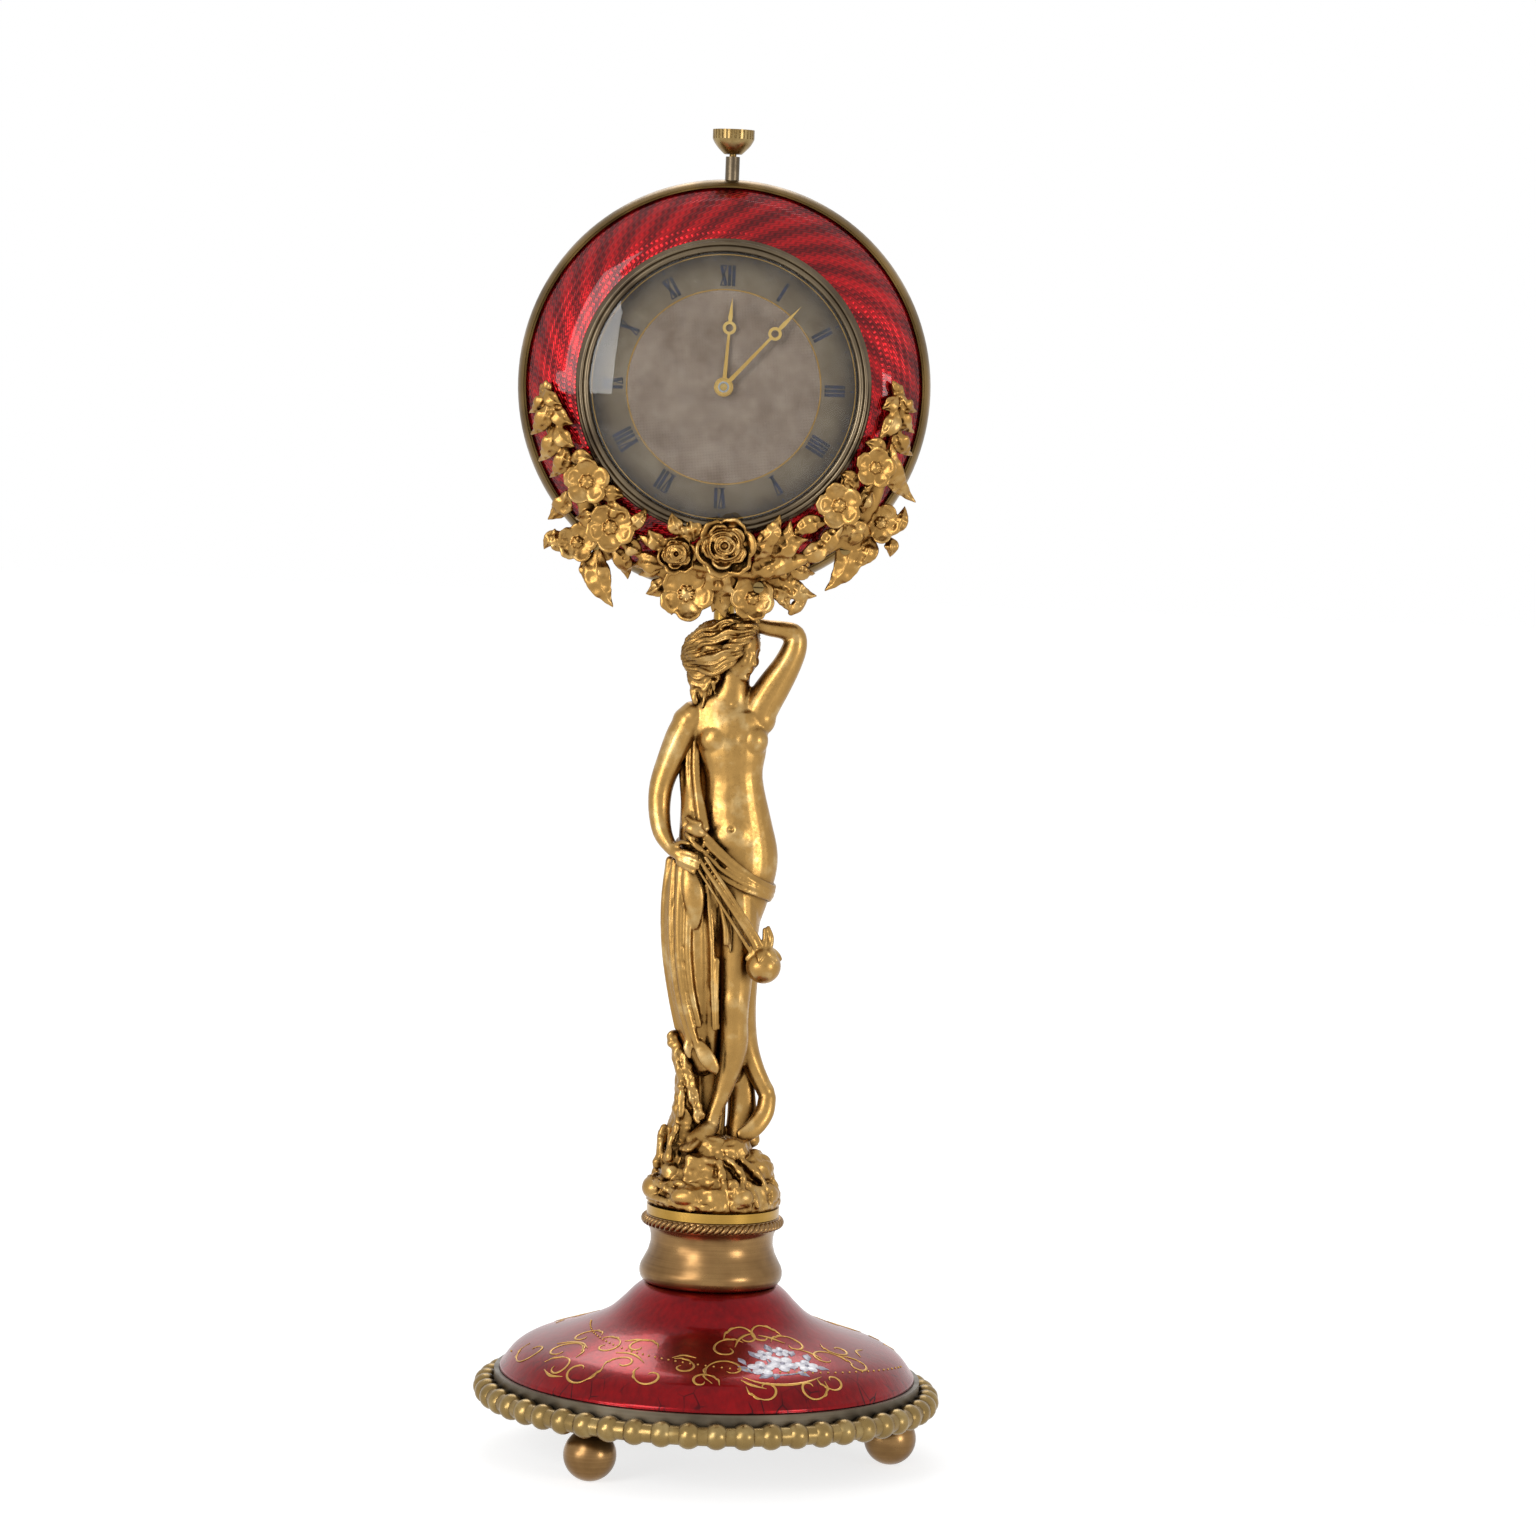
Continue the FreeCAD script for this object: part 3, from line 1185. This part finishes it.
def pallet_fork():
    # Drawn with its pivot at zero and the balance along +X, then turned to the line of the lever
    high = fork_level + fork_thickness
    reach = lever_half - jewel_pin_circle
    tip = reach + fork_mouth_depth / 2
    floor = reach - fork_mouth_depth / 2
    neck = fork_width / 2
    wide = fork_mouth_half + neck
    corners = [(0.0, -neck), (floor - fork_mouth_depth, -neck), (tip, -wide), (tip, -fork_mouth_half),
               (floor, -neck), (floor, neck), (tip, fork_mouth_half), (tip, wide),
               (floor - fork_mouth_depth, neck), (0.0, neck)]
    lever = Part.Face(Part.makePolygon([Vec(a, b, fork_level) for a, b in corners + corners[:1]]))
    parts = [lever.extrude(Vec(0, 0, fork_thickness)), rod(fork_hub_radius, fork_level, high)]
    ring_radius = escape_radius + pallet_clear + pallet_width / 2
    for side in (-1, 1):
        stone = (ring_radius * math.cos(math.radians(pallet_spread)) - lever_half,
                 side * ring_radius * math.sin(math.radians(pallet_spread)))
        parts.append(slab((0.0, side * neck), stone, pallet_width / 2, fork_level, high))
    fork = joined(parts)
    fork.rotate(Vec(0, 0, 0), Vec(0, 0, 1), lever_angle)
    low = pallet_bridge_level + arbor_end_gap
    shaft = rod(arbor_radius, low + pallet_bridge_thickness, main_plate_low - arbor_end_gap, *fork_place)
    pivots = rod(pivot_radius, low, main_plate_high - arbor_end_gap, *fork_place)
    return joined([moved(fork, *fork_place), shaft, pivots])


def regulator():
    low = regulator_low
    high = low + regulator_thickness
    disc = rod(regulator_radius, low, high, *balance_place)
    end = step_to(balance_place, regulator_length, cock_foot_angle + 180)
    arm = slab(balance_place, end, regulator_width / 2, low, high)
    return disc.fuse(arm).cut(rod(regulator_bore + pivot_gap, low, high, *balance_place))


# Hands and their wheels
def hand(length, angle, level, boss, bore):
    half = hand_width / 2
    narrow = half * hand_hole_share
    ring_middle = length * hand_ring_share
    tip_start = ring_middle + hand_ring_radius
    shoulder = tip_start + (length - tip_start) * hand_tail_share
    blade = [(-half, 0.0), (half, 0.0), (narrow, ring_middle), (-narrow, ring_middle)]
    point = [(-narrow, ring_middle + half), (narrow, ring_middle + half), (half, shoulder), (0.0, length),
             (-half, shoulder)]
    parts = [ring(0.0, boss, level, level + hand_thickness)]
    for corners in (blade, point):
        face = Part.Face(Part.makePolygon([Vec(a, b, level) for a, b in corners + corners[:1]]))
        parts.append(face.extrude(Vec(0, 0, hand_thickness)))
    eye = ring(hand_ring_radius * hand_hole_share, hand_ring_radius, level, level + hand_thickness)
    parts.append(moved(eye, 0, ring_middle))
    eye_hole = rod(hand_ring_radius * hand_hole_share, level, level + hand_thickness, 0, ring_middle)
    shape = joined(parts).cut([rod(bore, level, level + hand_thickness), eye_hole])
    shape.rotate(Vec(0, 0, 0), Vec(0, 0, 1), -angle)
    return shape


def hand_nodes():
    keep("minute_hand", place_head(hand(minute_hand_length, minute_hand_angle, minute_hand_level,
                                        minute_boss_radius, cannon_tube_radius)))
    keep("hour_hand", place_head(hand(hour_hand_length, hour_hand_angle, hour_hand_level, hand_boss_radius,
                                      hour_tube_radius)))
    low = motion_wheel_level - tube_gap
    bore = rod(centre_arbor_radius + tube_gap, low, minute_hand_level + hand_thickness)
    teeth = gear(cannon_teeth, motion_module, motion_wheel_level, motion_wheel_thickness, centre_place,
                 minute_wheel_angle + 180 / cannon_teeth, pinion_tooth_share)
    tube = rod(cannon_tube_radius, low, minute_hand_level + hand_thickness)
    keep("cannon_pinion", place_head(teeth.fuse(tube).cut(bore)))

    wheel = gear(minute_wheel_teeth, motion_module, motion_wheel_level, motion_wheel_thickness, minute_place,
                 minute_wheel_angle + 180, wheel_tooth_share)
    leaf_height = minute_pinion_top - motion_wheel_level
    leaves = gear(minute_pinion_teeth, motion_module, motion_wheel_level, leaf_height, minute_place,
                  minute_wheel_angle + 180 + 180 / minute_pinion_teeth, pinion_tooth_share)
    stud_hole = rod(arbor_radius + pivot_gap, motion_wheel_level, minute_pinion_top, *minute_place)
    keep("minute_wheel", place_head(wheel.fuse(leaves).cut(stud_hole)))

    wheel = gear(hour_wheel_teeth, motion_module, hour_wheel_level, hour_wheel_thickness, centre_place,
                 minute_wheel_angle, wheel_tooth_share)
    tube = rod(hour_tube_radius, hour_wheel_level, hour_hand_level + hand_thickness)
    inside = rod(cannon_tube_radius + tube_gap, hour_wheel_level, hour_hand_level + hand_thickness)
    keep("hour_wheel", place_head(wheel.fuse(tube).cut(inside)))


# Crown, stem and detent
def crown_nodes():
    foot = head_radius + tube_height + crown_gap
    top = foot + crown_height
    band = top - crown_band
    swell = [(crown_neck_radius + (crown_radius - crown_neck_radius) * r, foot + crown_height * z)
             for r, z in crown_profile_shares]
    body = outline((0.0, foot), [
        ("line", [(crown_neck_radius, foot)]),
        ("curve", swell + [(crown_radius, band)]),
        ("line", [(crown_radius, top), (0.0, top)])])
    crown = spin(body)
    knurls = []
    for index in range(crown_knurls):
        x, y = polar(crown_radius, index * 360 / crown_knurls)
        knurls.append(rod(crown_knurl_radius, band, top, x, y))
    socket = rod(stem_radius, foot, foot + crown_height / 2)
    crown = crown.cut(knurls + [socket])
    stem = rod(stem_radius, stem_end_radius, foot + crown_height / 2)
    waist = stem_radius - groove_depth
    groove_low = detent_place - stem_gap
    groove_high = detent_place + detent_thickness + stem_gap
    groove = ring(waist, stem_radius, groove_low, groove_high)
    detent = ring(waist + stem_gap, detent_radius, detent_place, detent_place + detent_thickness)
    for name, shape in (("crown", crown), ("winding_stem", stem.cut(groove)), ("setting_detent", detent)):
        # The crown's axis is drawn along Z and laid over onto the head's own up
        laid = shape.copy()
        laid.translate(Vec(head_x, 0, head_z))
        keep(name, laid)


# Garlands
def head_surface(radius):
    # How far the front of the head stands towards the viewer at a radius
    inner, outer = ring_inner_radius, head_radius
    share = min(max((radius - inner) / (outer - inner), 0.0), 1.0)
    return ring_front_level + (ring_edge_level - ring_front_level) * share ** 2


def at_head(u, v, lift):
    x, y = head_radius * u, head_radius * v
    return Vec(x, y, head_surface(math.hypot(x, y)) + lift)


def boss_form(middle, radius):
    # A small domed boss that faces the viewer: a straight foot and a tapering top
    foot = middle - Vec(0, 0, radius)
    shoulder = middle + Vec(0, 0, radius * petal_foot_share)
    top = radius * (1 - petal_foot_share)
    return [Part.makeCylinder(radius, radius * (1 + petal_foot_share), foot),
            Part.makeCone(radius, radius * petal_top_share, top, shoulder)]


def flower(u, v, size, lift):
    middle = at_head(u, v, lift)
    radius = head_radius * size
    parts = boss_form(middle + Vec(0, 0, radius * flower_heart_share / 2), radius * flower_heart_share)
    for index in range(petal_count):
        x, y = polar(radius * petal_reach_share, 90 + index * 360 / petal_count)
        parts += boss_form(middle + Vec(x, y, 0), radius * petal_size_share)
    return parts


def leaf(start_u, start_v, end_u, end_v, size, lift):
    # A flat leaf that follows the head's swelling from its stalk to its tip
    wires = []
    along = Vec(end_u - start_u, end_v - start_v, 0)
    along.normalize()
    wide = along.cross(Vec(0, 0, 1))
    for share, width in leaf_width_shares:
        middle = at_head(start_u + (end_u - start_u) * share, start_v + (end_v - start_v) * share, lift)
        points = []
        for step in range(section_points):
            turn = 2 * math.pi * step / section_points
            points.append(middle + wide * (head_radius * size * width * math.cos(turn))
                          + Vec(0, 0, leaf_thickness * math.sin(turn)))
        curve = Part.BSplineCurve()
        curve.interpolate(Points=points, PeriodicFlag=True)
        wires.append(Part.Wire(curve.toShape()))
    return Part.makeLoft(wires, True, False)


def twig(places, lift):
    # A branch of short straight lengths with a boss at each bend
    points = []
    for (u, v), (next_u, next_v) in zip(places, places[1:]):
        for step in range(twig_steps):
            share = step / twig_steps
            points.append(at_head(u + (next_u - u) * share, v + (next_v - v) * share, lift))
    points.append(at_head(*places[-1], lift))
    parts = []
    for point in points:
        parts += boss_form(point, twig_radius * twig_joint_share)
    for start, end in zip(points, points[1:]):
        run = end - start
        parts.append(Part.makeCylinder(twig_radius, run.Length, start, run))
    return parts


def case_envelope():
    # All that a garland has to stand clear of: the rim, the front enamel ring and the bezel
    gap = garland_seat_gap
    face = bezel_front_level + gap
    half = rim_half_depth + gap
    edge = rim_inner_radius + rim_lip
    curve = ring_curve(ring_front_level, gap)
    steps = [("line", [(ring_inner_radius + gap, face), curve[0]]), ("arc", curve[1:]),
             ("line", [(edge, half)]), ("arc", [(head_radius + gap, 0.0), (edge, -half)]),
             ("line", [(0.0, -half)])]
    return spin(outline((0.0, face), steps))


def garland_nodes():
    envelope = case_envelope()
    screws = []
    sprays = {"garland_left": (left_flower_shares, left_leaf_shares, left_twig_shares),
              "garland_centre": (centre_flower_shares, centre_leaf_shares, centre_twig_shares),
              "garland_right": (right_flower_shares, right_leaf_shares, right_twig_shares)}
    for name, (flowers, leaves, twigs) in sprays.items():
        lift = garland_lifts[name]
        parts = []
        for item in flowers:
            parts += flower(*item, lift)
        for item in leaves:
            parts.append(leaf(*item, lift))
        for item in twigs:
            parts += twig(item, lift)
        place = polar(garland_screw_circle, garland_screw_angles[name])
        top = head_surface(garland_screw_circle) + lift + twig_radius
        parts.append(rod(garland_boss_radius, 0.0, top, *place))
        shank = rod(garland_screw_radius, rim_half_depth - garland_screw_depth - lift, top, *place)
        well = rod(garland_screw_head_radius + garland_seat_gap, top, bezel_front_level, *place)
        head = screw_head(place, garland_screw_head_radius, top)
        head.rotate(Vec(place[0], place[1], top + screw_head_height / 2), Vec(0, 1, 0), 180)
        screws.append(head.fuse(shank))
        keep(name, place_head(joined(parts).cut(envelope).cut([shank, well])))
    keep("garland_screws", place_head(Part.makeCompound(screws)), group=True)


# Cradle
def rim_holes():
    holes = []
    for angle in garland_screw_angles.values():
        place = polar(garland_screw_circle, angle)
        holes.append(rod(garland_screw_radius, -rim_half_depth, rim_half_depth * 2, *place))
    return holes + [cradle_screw(cradle_screw_radius, cradle_wall * 2, side) for side in (-1, 1)]


def cradle_screw(radius, end, side, start=-cradle_screw_reach):
    # A round along the head's radius at the bottom of the rim, turned to one side
    shape = Part.makeCylinder(radius, end - start, Vec(0, -(head_radius + start), 0), Vec(0, -1, 0))
    shape.rotate(Vec(0, 0, 0), Vec(0, 0, 1), side * cradle_screw_angle)
    return shape


def cradle_nodes(figure):
    inner = head_radius + solder_gap
    outer = inner + cradle_wall
    sweep = 2 * cradle_half_angle
    band = Part.makeCylinder(outer, cradle_half_depth * 2, Vec(0, 0, -cradle_half_depth), Vec(0, 0, 1), sweep)
    band = band.cut(rod(inner, -cradle_half_depth, cradle_half_depth))
    band.rotate(Vec(0, 0, 0), Vec(0, 0, 1), -90 - cradle_half_angle)
    holes = [cradle_screw(cradle_screw_radius, cradle_wall * 2, side) for side in (-1, 1)]
    low = plinth_top_z + figure_height * cradle_post_sink_share
    top = head_z - inner - cradle_wall / 2
    post = rod(cradle_post_radius, low, top, cradle_post_x, cradle_post_y)
    keep("clock_cradle", place_head(band.cut(holes)).fuse(post))
    screws = []
    seat = cradle_wall + solder_gap
    for side in (-1, 1):
        shank = cradle_screw(cradle_screw_radius, seat, side)
        head = cradle_screw(cradle_screw_head, seat + screw_head_height, side, seat)
        screws.append(place_head(shank.fuse(head)))
    keep("cradle_screws", Part.makeCompound(screws), group=True)
    socket = rod(cradle_post_radius + solder_gap, low, top, cradle_post_x, cradle_post_y)
    keep("standing_figure", figure.cut(socket))


def build():
    base_nodes()
    figure = statue_nodes()
    case_nodes()
    back_cover_nodes()
    train_nodes()
    barrel_nodes()
    winding_nodes()
    plate_nodes()
    balance_nodes()
    hand_nodes()
    crown_nodes()
    garland_nodes()
    cradle_nodes(figure)


build()
os.makedirs("parts", exist_ok=True)
for name, shape in made.items():
    shape.exportStep("parts/" + name + ".step")
    print(name, len(shape.Solids), round(shape.Volume, 3), shape.isValid())
